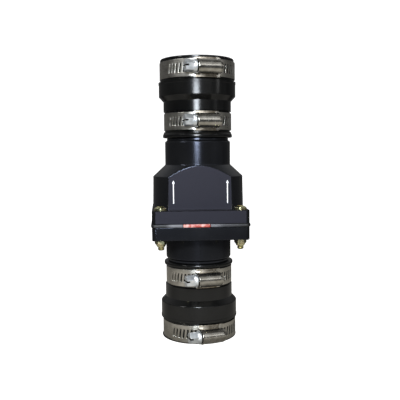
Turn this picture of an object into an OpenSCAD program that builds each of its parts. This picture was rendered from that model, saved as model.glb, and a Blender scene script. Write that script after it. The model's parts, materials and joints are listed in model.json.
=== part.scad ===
// Swing check valve for a 1 1/2 inch discharge pipe.
// Two ABS housings are bolted together over a rubber flapper, and a reducing rubber
// coupling with two worm drive clamps joins the pipe at each end.
// Origin: centre of the inlet mouth. +Z is the flow direction. The flat panel faces -Y.

/* [Pipe and bore] */
// Outer diameter of the pipe that each coupling takes
pipe_dia = 48.26; // [46:0.01:50]
// Radial slip between the pipe and its rubber socket
pipe_slip = 0.07; // [0.02:0.01:0.15]
// Outer diameter of the spigot at each end of the body
spigot_dia = 42.16; // [40:0.01:43.5]
// Bore of the spigots and of the seat
bore_dia = 35; // [31:0.5:36]

/* [Rubber couplings] */
// Whole length of one coupling
coupling_len = 58.8; // [58:0.1:66]
// Length of the wide end that takes the pipe
pipe_end_len = 28.4; // [27:0.1:30]
// Height of the sloping shoulder between the two ends
shoulder_len = 3.2; // [2:0.1:5]
// Rubber wall over the pipe
pipe_end_wall = 5.1; // [4:0.1:6]
// Rubber wall over the spigot
body_end_wall = 4.75; // [3.8:0.05:5.5]
// How deep the outlet pipe clamp bites into the rubber
outlet_pipe_bite = 1.4; // [0.6:0.05:2]
// How deep the outlet body clamp bites into the rubber
outlet_body_bite = 0.9; // [0.3:0.05:1.5]
// How deep the inlet body clamp bites into the rubber
inlet_body_bite = 1.25; // [0.3:0.05:1.5]
// How deep the inlet pipe clamp bites into the rubber
inlet_pipe_bite = 1.8; // [0.6:0.05:2]
// Height of the bead at the body end
bead_len = 2.7; // [1.5:0.1:3.5]
// How far the bead stands out
bead_rise = 0.7; // [0.3:0.1:1.2]
// Width of the rubber that swells beside the pipe clamp
swell_len = 1.7; // [1:0.1:2.5]
// How far that rubber swells out
swell_rise = 0.2; // [0.1:0.05:0.6]
// How far the mouth's edge stands out past the clamp's seat
mouth_rise = 0.2; // [0.1:0.05:0.5]
// Rounding of the coupling's outer edges
rubber_round = 0.8; // [0.3:0.1:1.2]
// Clearance between the spigot and the coupling
spigot_fit = 0.05; // [0.02:0.01:0.1]
// Open rubber beside a band and past its housing's ears
seat_side = 0.2; // [0.1:0.05:0.3]
// How far a seat's side leans out for each millimetre of its depth
seat_lean = 0.5; // [0.2:0.1:1]

/* [Body] */
// Outer diameter of the necks
neck_dia = 50; // [48:0.5:52]
// Length of the inlet neck
inlet_neck_len = 17.5; // [10:0.5:30]
// Length of the outlet neck
outlet_neck_len = 18.2; // [10:0.1:30]
// Chamfer at the shoulder of each neck
neck_chamfer = 1; // [0.4:0.1:1.2]
// Outer diameter of the collar that stops each coupling
stop_dia = 47; // [45:0.1:47.5]
// Length of that collar past the neck's shoulder
stop_len = 2; // [1:0.1:4]
// Gap between that collar and the coupling's bead
bead_gap = 0.2; // [0.1:0.05:1]
// How far each spigot reaches into its coupling
spigot_len = 29; // [26:0.5:30]
// Chamfer at the end of each spigot
spigot_chamfer = 1; // [0.5:0.1:1.5]
// Outer diameter of the chamber where it leaves the cone
chamber_dia = 68.8; // [66:0.2:71]
// How much the chamber widens down to the flange, by its mould draft
chamber_draft = 0.9; // [0:0.1:1.5]
// Height of the round chamber above the flange
chamber_len = 23.8; // [22:0.1:34]
// Wall of the chamber
chamber_wall = 3.4; // [2.5:0.1:4]
// Slope of the cone that joins the chamber to the neck
cone_angle = 42.7; // [38:0.1:55]
// How far the flat front panel stands out past the neck
panel_proud = 0.4; // [0:0.1:1.5]
// Wall behind the flat panel
panel_wall = 3.2; // [2.5:0.1:3.6]

/* [Flanged joint] */
// How far the flanges' sides stand out past the chamber
flange_rim = 0.65; // [0.3:0.05:4]
// Thickness of the inlet flange
inlet_flange_thk = 9.8; // [7:0.1:14]
// Thickness of the outlet flange
outlet_flange_thk = 9.8; // [7:0.1:14]
// Corner radius of the flanges
flange_round = 3; // [1:0.5:5]
// Chamfer on the outer edges of the flanges
flange_chamfer = 0.4; // [0.3:0.1:1.5]
// Gap between the bolt heads and the chamber's wall
head_gap = 1.5; // [1:0.05:3]
// Thickness of the gasket and of the flapper rubber
gasket_thk = 2.2; // [1.6:0.1:3]
// How far the squeezed gasket stands out of the joint
gasket_proud = 0.6; // [0:0.1:1]

/* [Bolts and nuts] */
// Thread diameter
bolt_dia = 5; // [4:0.5:5.5]
// Clearance hole in the flanges
bolt_hole_dia = 5.6; // [5.6:0.1:6.5]
// Diameter of the pan head
bolt_head_dia = 9.5; // [8:0.1:10]
// Height of the pan head
bolt_head_h = 3.2; // [2.4:0.1:4]
// Width of the cross recess
recess_w = 1.2; // [0.8:0.1:1.4]
// Length of the cross recess
recess_len = 5.2; // [4:0.1:6]
// Depth of the cross recess
recess_depth = 1.6; // [1:0.1:1.8]
// Turn at which the screws happen to stop
recess_turn = 30; // [0:5:90]
// Nut size across its flats
nut_af = 8; // [7.6:0.1:8.6]
// Height of the nut's hexagon
nut_hex_h = 3.2; // [2.5:0.1:5]
// Height of the nut's round collar
nut_collar_h = 1.5; // [0.8:0.1:2]
// How far the bolt stands out of its nut
bolt_tail = 2.7; // [1.5:0.1:5]
// How far the nut's collar is set in from its flats
nut_collar_inset = 0.3; // [0.2:0.05:0.5]
// Clearance between a bolt and its nut
nut_fit = 0.05; // [0.02:0.01:0.1]
// Chamfer at the bolt's end
bolt_end_chamfer = 0.6; // [0.3:0.1:0.8]

/* [Flapper] */
// Width of the raised seat round the bore
seat_land = 3.5; // [3:0.1:4.5]
// Depth of the relief round the seat
seat_relief = 1.2; // [0.6:0.1:2]
// How far the flapper covers the seat
seat_cover = 3; // [2:0.1:3.2]
// Width of the flapper's tab and hinge
tab_w = 19.5; // [12:0.5:22]
// How far the tab and hinge sit to the left of the middle
tab_shift = 3.2; // [0:0.1:4]
// Clearance between the tab and the gasket
tab_fit = 0.3; // [0.2:0.05:0.6]
// Thickness of the thin hinge web
web_thk = 1.2; // [0.8:0.1:1.6]
// Half of the free length of the hinge web
web_half = 0.8; // [0.7:0.05:0.9]
// Gap between the hinge line and the panel's inner face
hinge_gap = 1; // [0.9:0.05:1.5]
// Diameter of the steel weight
weight_dia = 29; // [20:0.5:29]
// Thickness of the steel weight
weight_thk = 2; // [1:0.1:2.2]
// Diameter of the backing washer
backing_dia = 29; // [20:0.5:30]
// Thickness of the backing washer
backing_thk = 1.5; // [1:0.1:2]
// Diameter of the rivet's shank
rivet_dia = 4.8; // [3:0.1:6]
// Diameter of the rivet's heads
rivet_head_dia = 9; // [7:0.1:12]
// Height of the rivet's heads
rivet_head_h = 1.3; // [0.8:0.1:2]

/* [Worm drive clamps] */
// Width of the band
band_w = 12.7; // [11:0.1:13.5]
// Thickness of the band
band_thk = 0.6; // [0.5:0.05:0.7]
// Gap between the band's two layers, and under its housing
layer_gap = 0.05; // [0.02:0.01:0.08]
// Length of a band slot
slot_len = 6.6; // [5:0.1:8.5]
// Width of a band slot
slot_w = 1.3; // [0.9:0.1:1.6]
// Distance between slots along the band
slot_pitch = 3; // [2.6:0.1:3.6]
// Slant of the slots
slot_slant = 8; // [0:1:12]
// Number of slots that show on the free tail
tail_slots = 7; // [4:1:9]
// Plain length of the tail past its last slot
tail_end_len = 4; // [2:0.5:8]
// Number of slots between the housing's middle and the end of the slotted run
run_slots = 11; // [8:1:14]
// Length of the screw housing along the band
housing_len = 18.6; // [17:0.1:20]
// Thickness of the housing's sheet
sheet_thk = 0.75; // [0.5:0.05:0.8]
// Radius of the worm's thread
worm_r = 4.3; // [3.8:0.05:4.5]
// Depth of the worm's thread
thread_depth = 0.9; // [0.6:0.1:1.2]
// Clearance round the worm
worm_clear = 0.15; // [0.1:0.01:0.25]
// Length of the barrel's rounded end
taper_len = 2; // [1.5:0.1:4]
// Distance from the barrel's end to the end of its feet
barrel_inset = 0.6; // [0.3:0.1:3]
// Length of the rim round the barrel's open end
rim_len = 1; // [0.6:0.1:1.5]
// How far that rim stands out
rim_rise = 0.4; // [0.2:0.1:0.5]
// Screw head size across its flats
screw_af = 7.94; // [7:0.02:8.5]
// Length of the screw's hexagon
screw_hex_len = 5.6; // [4:0.1:7]
// Radius of the screw's collar
collar_r = 4.9; // [4.6:0.1:5.2]
// Length of the screw's collar
collar_len = 2.7; // [1.5:0.1:3.5]
// Gap between the collar and the housing
collar_gap = 0.9; // [0.2:0.1:1.2]
// Width of the screwdriver slot
driver_w = 1.3; // [0.8:0.1:1.6]
// Depth of the screwdriver slot
driver_depth = 2; // [1:0.1:3]
// Distance from the coupling's mouth to the outlet pipe clamp
outlet_clamp_inset = 2.7; // [1.5:0.1:4]
// Distance from the coupling's mouth to the inlet pipe clamp
inlet_clamp_inset = 0.9; // [0.9:0.1:4]
// Distance from the coupling's bead to the outlet body clamp
outlet_body_inset = 2.8; // [1:0.1:4]
// Distance from the coupling's bead to the inlet body clamp
inlet_body_inset = 1; // [1:0.1:4]
// Turn of the first three clamps round the axis
clamp_turn = 12.5; // [0:0.5:40]
// Turn of the inlet pipe clamp round the axis
inlet_clamp_turn = 14.5; // [0:0.5:40]

/* [Hidden] */
$fn = 96;

// Radii of the couplings
socket_r = pipe_dia / 2 + pipe_slip;
pipe_end_r = pipe_dia / 2 + pipe_end_wall;
spigot_r = spigot_dia / 2;
body_end_r = spigot_r + body_end_wall;
socket_len = pipe_end_len - shoulder_len / 2;
bead_round = min(rubber_round, bead_len / 2.5);
bead_slope = 30;
// A seat is open beside its band as far as the housing's ears reach
ear_room = layer_gap + sheet_thk + seat_side;

// Heights along the valve, from the inlet mouth
inlet_shoulder_z = coupling_len + bead_gap + stop_len;
inlet_flange_z = inlet_shoulder_z + inlet_neck_len;
joint_z = inlet_flange_z + inlet_flange_thk;
outlet_flange_z = joint_z + gasket_thk;
chamber_z = outlet_flange_z + outlet_flange_thk;
cone_z = chamber_z + chamber_len;
cone_len = (chamber_dia - neck_dia) / 2 * tan(cone_angle);
outlet_neck_z = cone_z + cone_len;
outlet_shoulder_z = outlet_neck_z + outlet_neck_len;
valve_len = outlet_shoulder_z + stop_len + bead_gap + coupling_len;

// Chamber and panel
neck_r = neck_dia / 2;
bore_r = bore_dia / 2;
chamber_top_r = chamber_dia / 2;
chamber_base_r = chamber_top_r + chamber_draft / 2;
flange_w = 2 * (chamber_base_r + flange_rim);
panel_y = neck_r + panel_proud;
cavity_y = panel_y - panel_wall;
// The wall keeps its thickness round the knee between the chamber and the cone
knee_drop = chamber_wall * tan((90 - cone_angle) / 2);
cavity_r = chamber_top_r - chamber_wall;
cavity_cone_z = cone_z - knee_drop;
cavity_top_z = cavity_cone_z + (cavity_r - bore_r) * tan(cone_angle);

// Flapper
hinge_y = -(cavity_y - hinge_gap);
hinge_z = joint_z + gasket_thk / 2;
flapper_r = bore_r + seat_cover;
seat_r = bore_r + seat_land;
tab_x = -tab_shift - tab_w / 2;
tab_y = flange_w / 2 + gasket_proud;
weight_z = joint_z + gasket_thk;

// Fasteners
bolt_xy = (chamber_base_r + head_gap + bolt_head_dia / 2) * cos(45);
nut_z = inlet_flange_z - nut_hex_h;
bolt_end_z = nut_z - nut_collar_h - bolt_tail;

// Clamps: the band's free tail lies outside its own first turn
tail_r = band_thk + layer_gap;
worm_axis = tail_r + band_thk + worm_clear + worm_r;
barrel_r = worm_r + worm_clear;
barrel_out_r = barrel_r + sheet_thk;
housing_half = housing_len / 2;
housing_foot = tail_r + band_thk + layer_gap;
worm_pitch = slot_pitch;

// Quarter turns and other round stretches of a profile
function arc(c, r, a0, a1, n = 5) =
    [for (i = [0:n]) c + r * [cos(a0 + (a1 - a0) * i / n), sin(a0 + (a1 - a0) * i / n)]];

// Flange outline: a square with round corners, made of true arcs
module flange_outline(grow = 0) {
    half = flange_w / 2 + grow;
    inset = half - flange_round;
    square([2 * inset, 2 * half], center = true);
    square([2 * half, 2 * inset], center = true);
    for (x = [-inset, inset])
        for (y = [-inset, inset])
            translate([x, y])
                circle(r = flange_round);
}

// Flange plate with chamfered outer edges
module flange_plate(thk) {
    intersection() {
        linear_extrude(thk)
            flange_outline();
        edge_trim(thk);
        rotate([0, 0, 90])
            edge_trim(thk);
    }
}

// Long bar along Y whose section is a rectangle with four cut corners
module edge_trim(thk) {
    half = flange_w / 2;
    cut = flange_chamfer;
    rotate([90, 0, 0])
        linear_extrude(2 * flange_w, center = true)
            polygon([
                [-half + cut, 0], [half - cut, 0], [half, cut], [half, thk - cut],
                [half - cut, thk], [-half + cut, thk], [-half, thk - cut], [-half, cut]
            ]);
}

module at_bolts() {
    for (x = [-bolt_xy, bolt_xy])
        for (y = [-bolt_xy, bolt_xy])
            translate([x, y, 0])
                children();
}

// Everything behind a plane that faces -Y
module behind_plane(y) {
    reach = flange_w;
    translate([-reach, -y, 0])
        cube([2 * reach, reach + y, valve_len]);
}

// The space round the flapper, from height z0 up
module cavity_form(z0) {
    intersection() {
        rotate_extrude()
            polygon([
                [0, z0], [cavity_r, z0], [cavity_r, cavity_cone_z],
                [bore_r, cavity_top_z], [0, cavity_top_z]
            ]);
        behind_plane(cavity_y);
    }
}

// One coupling, from its pipe mouth at z = 0 up to its bead. Each clamp presses a seat into it.
module coupling(pipe_inset, pipe_bite, body_inset, body_bite) {
    pipe_seat_r = pipe_end_r - pipe_bite;
    body_seat_r = body_end_r - body_bite;
    mouth_r = pipe_seat_r + mouth_rise;
    mouth_round = min(rubber_round, pipe_inset / 2);
    swell_r = pipe_end_r + swell_rise;
    pipe_seat_z0 = pipe_inset - seat_side;
    pipe_seat_z1 = pipe_inset + band_w + ear_room;
    swell_z = pipe_seat_z1 + (swell_r - pipe_seat_r) * seat_lean;
    bead_z = coupling_len - bead_len;
    bead_r = body_end_r + bead_rise;
    body_seat_z0 = bead_z - body_inset - band_w - ear_room;
    body_seat_z1 = bead_z - max(0, body_inset - ear_room);
    body_lean = body_bite * seat_lean;
    // A seat that comes up to the bead has the bead itself as its side
    seat_meets_bead = body_seat_z1 + body_lean >= bead_z - bead_rise;
    inner_r = spigot_r + spigot_fit;
    rotate_extrude()
        polygon(concat(
            [[socket_r, 0]],
            arc([mouth_r - mouth_round, mouth_round], mouth_round, -90, 0),
            [[mouth_r, pipe_seat_z0], [pipe_seat_r, pipe_seat_z0], [pipe_seat_r, pipe_seat_z1]],
            [[swell_r, swell_z], [swell_r, swell_z + swell_len], [pipe_end_r, swell_z + swell_len + swell_rise]],
            arc([pipe_end_r - rubber_round, pipe_end_len - rubber_round], rubber_round, 0, 45),
            [[body_end_r, pipe_end_len + shoulder_len], [body_end_r, body_seat_z0 - body_lean]],
            [[body_seat_r, body_seat_z0]],
            seat_meets_bead
                ? [[body_seat_r, bead_z], [body_end_r, bead_z]]
                : [
                    [body_seat_r, body_seat_z1], [body_end_r, body_seat_z1 + body_lean],
                    [body_end_r, bead_z - bead_rise]
                ],
            arc([bead_r - bead_round, bead_z + bead_round], bead_round, -bead_slope, 0, 2),
            arc([bead_r - bead_round, coupling_len - bead_round], bead_round, 0, 90),
            [[inner_r, coupling_len], [inner_r, socket_len + (socket_r - inner_r)]],
            [[socket_r, socket_len]]
        ));
}

// Neck, collar and spigot: shoulder at z = 0, spigot upwards, neck downwards
module neck_form(neck_len) {
    rotate_extrude()
        polygon([
            [0, -neck_len], [neck_r, -neck_len], [neck_r, -neck_chamfer], [neck_r - neck_chamfer, 0],
            [stop_dia / 2, 0], [stop_dia / 2, stop_len],
            [spigot_r, stop_len], [spigot_r, spigot_len - spigot_chamfer],
            [spigot_r - spigot_chamfer, spigot_len], [0, spigot_len]
        ]);
}

module bore(z0, z1) {
    translate([0, 0, z0])
        cylinder(r = bore_r, h = z1 - z0);
}

module bolt_holes(z0, z1) {
    at_bolts()
        translate([0, 0, z0])
            cylinder(d = bolt_hole_dia, h = z1 - z0);
}

module inlet_sleeve() {
    color([0.08, 0.08, 0.08])
        coupling(inlet_clamp_inset, inlet_pipe_bite, inlet_body_inset, inlet_body_bite);
}

module outlet_sleeve() {
    color([0.08, 0.08, 0.08])
        translate([0, 0, valve_len])
            mirror([0, 0, 1])
                coupling(outlet_clamp_inset, outlet_pipe_bite, outlet_body_inset, outlet_body_bite);
}

// Lower housing: spigot, neck, flange and the raised seat
module inlet_housing() {
    spigot_z = inlet_shoulder_z - spigot_len;
    color([0.1, 0.1, 0.11])
        difference() {
            union() {
                translate([0, 0, inlet_shoulder_z])
                    mirror([0, 0, 1])
                        neck_form(inlet_neck_len + inlet_flange_thk / 2);
                translate([0, 0, inlet_flange_z])
                    flange_plate(inlet_flange_thk);
            }
            bore(spigot_z - 1, joint_z + 1);
            bolt_holes(inlet_flange_z - 1, joint_z + 1);
            difference() {
                cavity_form(joint_z - seat_relief);
                translate([0, 0, inlet_flange_z])
                    cylinder(r = seat_r, h = inlet_flange_thk + 2 * gasket_thk + cone_z);
            }
        }
}

// Upper housing: flange, chamber with its flat panel, cone, neck and spigot
module outlet_housing() {
    color([0.1, 0.1, 0.11])
        difference() {
            union() {
                translate([0, 0, outlet_flange_z])
                    flange_plate(outlet_flange_thk);
                intersection() {
                    rotate_extrude()
                        polygon([
                            [0, outlet_flange_z + outlet_flange_thk / 2],
                            [chamber_base_r, outlet_flange_z + outlet_flange_thk / 2],
                            [chamber_base_r, chamber_z], [chamber_top_r, cone_z],
                            [neck_r, outlet_neck_z], [0, outlet_neck_z]
                        ]);
                    behind_plane(panel_y);
                }
                translate([0, 0, outlet_shoulder_z])
                    neck_form(outlet_neck_len + cone_len / 2);
            }
            cavity_form(outlet_flange_z - 1);
            bore(outlet_flange_z - 1, outlet_shoulder_z + spigot_len + 1);
            bolt_holes(outlet_flange_z - 1, chamber_z + 1);
        }
}

// Full face gasket, cut open at the front for the flapper's tab
module flange_gasket() {
    color([0.06, 0.06, 0.06])
        difference() {
            translate([0, 0, joint_z])
                linear_extrude(gasket_thk)
                    flange_outline(gasket_proud);
            cavity_form(joint_z - 1);
            bolt_holes(joint_z - 1, outlet_flange_z + 1);
            translate([tab_x - tab_fit, -tab_y - 1, joint_z - 1])
                cube([tab_w + 2 * tab_fit, tab_y + 1 - cavity_y / 2, gasket_thk + 2]);
        }
}

// Rubber disc with the lug that runs to the hinge web
module flapper_disc() {
    lug_y = -hinge_y - web_half;
    color([0.62, 0.09, 0.07])
        difference() {
            translate([0, 0, joint_z])
                linear_extrude(gasket_thk)
                    union() {
                        intersection() {
                            circle(r = flapper_r);
                            translate([-flapper_r, -lug_y])
                                square(2 * flapper_r);
                        }
                        translate([tab_x, -lug_y])
                            square([tab_w, lug_y]);
                    }
            translate([0, 0, joint_z - 1])
                cylinder(d = rivet_dia, h = gasket_thk + 2);
        }
}

// Thin web that bends as the flapper swings
module flapper_hinge_web() {
    color([0.62, 0.09, 0.07])
        translate([tab_x, hinge_y - web_half, hinge_z - web_thk / 2])
            cube([tab_w, 2 * web_half, web_thk]);
}

// Tab that is clamped between the flanges and shows at the front of the joint
module flapper_tab() {
    color([0.62, 0.09, 0.07])
        translate([tab_x, -tab_y, joint_z])
            cube([tab_w, tab_y + hinge_y - web_half, gasket_thk]);
}

// Round plate with a rivet hole and a broken upper edge
module plate(dia, thk) {
    edge = thk / 4;
    difference() {
        rotate_extrude()
            polygon([[0, 0], [dia / 2, 0], [dia / 2, thk - edge], [dia / 2 - edge, thk], [0, thk]]);
        translate([0, 0, -1])
            cylinder(d = rivet_dia, h = thk + 2);
    }
}

module flapper_weight() {
    color([0.72, 0.72, 0.7])
        translate([0, 0, weight_z])
            plate(weight_dia, weight_thk);
}

module flapper_backing() {
    color([0.72, 0.72, 0.7])
        translate([0, 0, joint_z])
            mirror([0, 0, 1])
                plate(backing_dia, backing_thk);
}

// Domed head, flat side at z = 0
module domed_head(dia, h) {
    dome_r = (dia * dia / 4 + h * h) / (2 * h);
    intersection() {
        translate([0, 0, h - dome_r])
            sphere(r = dome_r);
        cylinder(d = dia, h = h);
    }
}

module flapper_rivet() {
    grip = backing_thk + gasket_thk + weight_thk;
    color([0.8, 0.66, 0.35])
        translate([0, 0, joint_z - backing_thk])
            union() {
                cylinder(d = rivet_dia, h = grip);
                translate([0, 0, grip])
                    domed_head(rivet_head_dia, rivet_head_h);
                mirror([0, 0, 1])
                    domed_head(rivet_head_dia, rivet_head_h);
            }
}

// Pan head screw, head seated on z = 0, shank downwards
module pan_screw(shank_len) {
    edge_h = bolt_head_h * 0.45;
    difference() {
        union() {
            cylinder(d = bolt_head_dia, h = edge_h);
            translate([0, 0, edge_h])
                domed_head(bolt_head_dia, bolt_head_h - edge_h);
            translate([0, 0, -shank_len + bolt_end_chamfer])
                cylinder(d = bolt_dia, h = shank_len);
            translate([0, 0, -shank_len])
                cylinder(d1 = bolt_dia - 2 * bolt_end_chamfer, d2 = bolt_dia, h = bolt_end_chamfer);
        }
        for (turn = [0, 90])
            rotate([0, 0, turn])
                translate([-recess_len / 2, -recess_w / 2, bolt_head_h - recess_depth])
                    cube([recess_len, recess_w, recess_depth + 1]);
    }
}

module flange_bolts() {
    color([0.78, 0.66, 0.36])
        at_bolts()
            translate([0, 0, chamber_z])
                rotate([0, 0, recess_turn])
                    pan_screw(chamber_z - bolt_end_z);
}

// Lock nut: hexagon up against the flange, round collar below it
module lock_nut() {
    corner_r = nut_af / 2 / cos(30);
    collar_base_r = nut_af / 2 - nut_collar_inset;
    difference() {
        union() {
            intersection() {
                cylinder(r = corner_r, h = nut_hex_h, $fn = 6);
                cylinder(r1 = collar_base_r, r2 = collar_base_r + nut_hex_h, h = nut_hex_h);
            }
            translate([0, 0, -nut_collar_h])
                cylinder(r1 = collar_base_r - nut_collar_h / 2, r2 = collar_base_r, h = nut_collar_h);
        }
        translate([0, 0, -nut_collar_h - 1])
            cylinder(d = bolt_dia + 2 * nut_fit, h = nut_hex_h + nut_collar_h + 2);
    }
}

module flange_nuts() {
    color([0.78, 0.66, 0.36])
        at_bolts()
            translate([0, 0, nut_z])
                lock_nut();
}

// Puts a clamp piece at its height, with its screw turned round the axis
module at_clamp(z, turn) {
    translate([0, 0, z])
        rotate([0, 0, turn])
            children();
}

// Flat sector from angle a0 to a1, seen from above, 0 at -Y and positive towards +X
module sector(a0, a1, reach) {
    steps = max(1, ceil((a1 - a0) / 60));
    polygon(concat(
        [[0, 0]],
        [for (i = [0:steps]) reach * [sin(a0 + (a1 - a0) * i / steps), -cos(a0 + (a1 - a0) * i / steps)]]
    ));
}

// Band: half a turn at the inner radius behind and on the left, half a turn that spirals
// out on the right, then the slotted tail that lies over the first turn
module clamp_band(r) {
    outer_r = r + tail_r;
    pitch_angle = slot_pitch / (outer_r + band_thk) * 180 / PI;
    tail_a = housing_half / outer_r * 180 / PI;
    tail_angle = tail_a + (tail_slots - 1) * pitch_angle + tail_end_len / outer_r * 180 / PI;
    run_angle = run_slots * pitch_angle;
    first_slot = -ceil(tail_a / pitch_angle) - tail_slots + 1;
    reach = 2 * (outer_r + band_thk);
    spiral_r = r + tail_r / 2;
    difference() {
        translate([0, 0, -band_w / 2])
            linear_extrude(band_w)
                union() {
                    // First turn, from under the housing round the left to the back
                    intersection() {
                        difference() {
                            circle(r = r + band_thk);
                            circle(r = r);
                        }
                        union() {
                            sector(-90, 0, reach);
                            sector(-180, -90, reach);
                        }
                    }
                    // Spiral, from the back round the right up to the housing
                    intersection() {
                        translate([0, -tail_r / 2])
                            difference() {
                                circle(r = spiral_r + band_thk);
                                circle(r = spiral_r);
                            }
                        union() {
                            sector(0, 90, reach);
                            sector(90, 180, reach);
                        }
                    }
                    // Tail, from the housing to its free end on the left
                    intersection() {
                        difference() {
                            circle(r = outer_r + band_thk);
                            circle(r = outer_r);
                        }
                        sector(-tail_angle, 0, reach);
                    }
                }
        for (i = [first_slot:run_slots])
            rotate([0, 0, i * pitch_angle])
                translate([0, -outer_r - band_thk, 0])
                    rotate([0, slot_slant, 0])
                        translate([-slot_w / 2, -band_thk, -slot_len / 2])
                            cube([slot_w, 2 * band_thk + 2 * tail_r, slot_len]);
    }
}

// Cylinder along +X, its axis at the worm's axis
module along_worm(r, x0, x1, r1, r2) {
    translate([x0, -r - worm_axis, 0])
        rotate([0, 90, 0])
            cylinder(r1 = r1, r2 = r2, h = x1 - x0);
}

// Housing: a sheet folded over the worm, with feet on the band and ears down its edges
module clamp_housing(r) {
    foot_r = r + housing_foot;
    ear_w = band_w + 2 * layer_gap + 2 * sheet_thk;
    barrel_x1 = housing_half - barrel_inset;
    end_r = barrel_out_r - taper_len / 3;
    ear_half = housing_half * 0.55;
    axis_y = r + worm_axis;
    difference() {
        union() {
            along_worm(r, -housing_half, barrel_x1 - taper_len, barrel_out_r, barrel_out_r);
            along_worm(r, barrel_x1 - taper_len, barrel_x1, barrel_out_r, end_r);
            along_worm(r, -housing_half, -housing_half + rim_len, barrel_out_r + rim_rise, barrel_out_r + rim_rise);
            // Side walls under the barrel
            translate([-housing_half, -axis_y, -barrel_out_r])
                cube([barrel_x1 - taper_len + housing_half, worm_axis - band_thk, 2 * barrel_out_r]);
            // Feet that follow the band
            intersection() {
                cylinder(r = foot_r + sheet_thk, h = ear_w, center = true);
                translate([-housing_half, -foot_r - 2 * sheet_thk, -ear_w / 2])
                    cube([housing_len, foot_r, ear_w]);
            }
        }
        // Room for the worm
        along_worm(r, -housing_half - 1, barrel_x1 - taper_len, barrel_r, barrel_r);
        translate([-housing_half - 1, -axis_y, -barrel_r])
            cube([barrel_x1 - taper_len + housing_half + 1, worm_axis, 2 * barrel_r]);
        // Room for the band's two layers
        cylinder(r = foot_r, h = band_w + 2 * layer_gap, center = true);
        // The ears end at the first turn, and only the middle has them
        cylinder(r = r + tail_r, h = 2 * ear_w, center = true);
        for (side = [-1, 1])
            for (end = [-1, 1])
                intersection() {
                    cylinder(r = foot_r, h = 2 * ear_w, center = true);
                    translate([end > 0 ? ear_half : -3 * housing_half, -foot_r - 1, side > 0 ? band_w / 2 : -ear_w])
                        cube([3 * housing_half - ear_half, foot_r, ear_w - band_w / 2]);
                }
    }
}

// Screw: ringed worm, collar and slotted hexagon, its head on the left
module clamp_screw(r) {
    root_r = worm_r - thread_depth;
    worm_x1 = housing_half - barrel_inset - taper_len - worm_clear;
    worm_x0 = -housing_half - collar_gap;
    rings = floor((worm_x1 - worm_x0 - worm_pitch / 2) / worm_pitch);
    head_x0 = worm_x0 - collar_len - screw_hex_len;
    hex_r = screw_af / 2 / cos(30);
    difference() {
        union() {
            translate([worm_x0, -r - worm_axis, 0])
                rotate([0, 90, 0])
                    rotate_extrude()
                        polygon(concat(
                            [[0, 0]],
                            [[root_r, 0]],
                            [for (i = [0:rings - 1])
                                each [
                                    [root_r, worm_pitch * (i + 0.5)],
                                    [worm_r, worm_pitch * (i + 0.75)],
                                    [worm_r, worm_pitch * (i + 0.95)],
                                    [root_r, worm_pitch * (i + 1.2)]
                                ]],
                            [[root_r, worm_x1 - worm_x0], [0, worm_x1 - worm_x0]]
                        ));
            along_worm(r, worm_x0 - collar_len / 2, worm_x0, collar_r, collar_r);
            along_worm(r, worm_x0 - collar_len, worm_x0 - collar_len / 2, screw_af / 2, collar_r);
            intersection() {
                translate([head_x0, -r - worm_axis, 0])
                    rotate([0, 90, 0])
                        rotate([0, 0, 15])
                            cylinder(r = hex_r, h = screw_hex_len + collar_len / 2, $fn = 6);
                along_worm(r, head_x0, head_x0 + screw_hex_len + collar_len / 2,
                    screw_af / 2, screw_af / 2 + 2 * (screw_hex_len + collar_len / 2));
            }
        }
        translate([head_x0 - 1, -r - worm_axis - 2 * collar_r, -driver_w / 2])
            cube([driver_depth + 1, 4 * collar_r, driver_w]);
    }
}

// Inner radii and heights of the four clamps
outlet_pipe_r = pipe_end_r - outlet_pipe_bite + layer_gap;
outlet_body_r = body_end_r - outlet_body_bite + layer_gap;
inlet_body_r = body_end_r - inlet_body_bite + layer_gap;
inlet_pipe_r = pipe_end_r - inlet_pipe_bite + layer_gap;
outlet_pipe_z = valve_len - outlet_clamp_inset - band_w / 2;
outlet_body_z = valve_len - coupling_len + bead_len + outlet_body_inset + band_w / 2;
inlet_body_z = coupling_len - bead_len - inlet_body_inset - band_w / 2;
inlet_pipe_z = inlet_clamp_inset + band_w / 2;

band_colour = [0.66, 0.66, 0.62];
housing_colour = [0.6, 0.6, 0.57];
screw_colour = [0.82, 0.84, 0.84];

module outlet_pipe_clamp_band() {
    color(band_colour)
        at_clamp(outlet_pipe_z, clamp_turn)
            clamp_band(outlet_pipe_r);
}

module outlet_pipe_clamp_housing() {
    color(housing_colour)
        at_clamp(outlet_pipe_z, clamp_turn)
            clamp_housing(outlet_pipe_r);
}

module outlet_pipe_clamp_screw() {
    color(screw_colour)
        at_clamp(outlet_pipe_z, clamp_turn)
            clamp_screw(outlet_pipe_r);
}

module outlet_body_clamp_band() {
    color(band_colour)
        at_clamp(outlet_body_z, clamp_turn)
            clamp_band(outlet_body_r);
}

module outlet_body_clamp_housing() {
    color(housing_colour)
        at_clamp(outlet_body_z, clamp_turn)
            clamp_housing(outlet_body_r);
}

module outlet_body_clamp_screw() {
    color(screw_colour)
        at_clamp(outlet_body_z, clamp_turn)
            clamp_screw(outlet_body_r);
}

module inlet_body_clamp_band() {
    color(band_colour)
        at_clamp(inlet_body_z, clamp_turn)
            clamp_band(inlet_body_r);
}

module inlet_body_clamp_housing() {
    color(housing_colour)
        at_clamp(inlet_body_z, clamp_turn)
            clamp_housing(inlet_body_r);
}

module inlet_body_clamp_screw() {
    color(screw_colour)
        at_clamp(inlet_body_z, clamp_turn)
            clamp_screw(inlet_body_r);
}

module inlet_pipe_clamp_band() {
    color(band_colour)
        at_clamp(inlet_pipe_z, inlet_clamp_turn)
            clamp_band(inlet_pipe_r);
}

module inlet_pipe_clamp_housing() {
    color(housing_colour)
        at_clamp(inlet_pipe_z, inlet_clamp_turn)
            clamp_housing(inlet_pipe_r);
}

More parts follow.
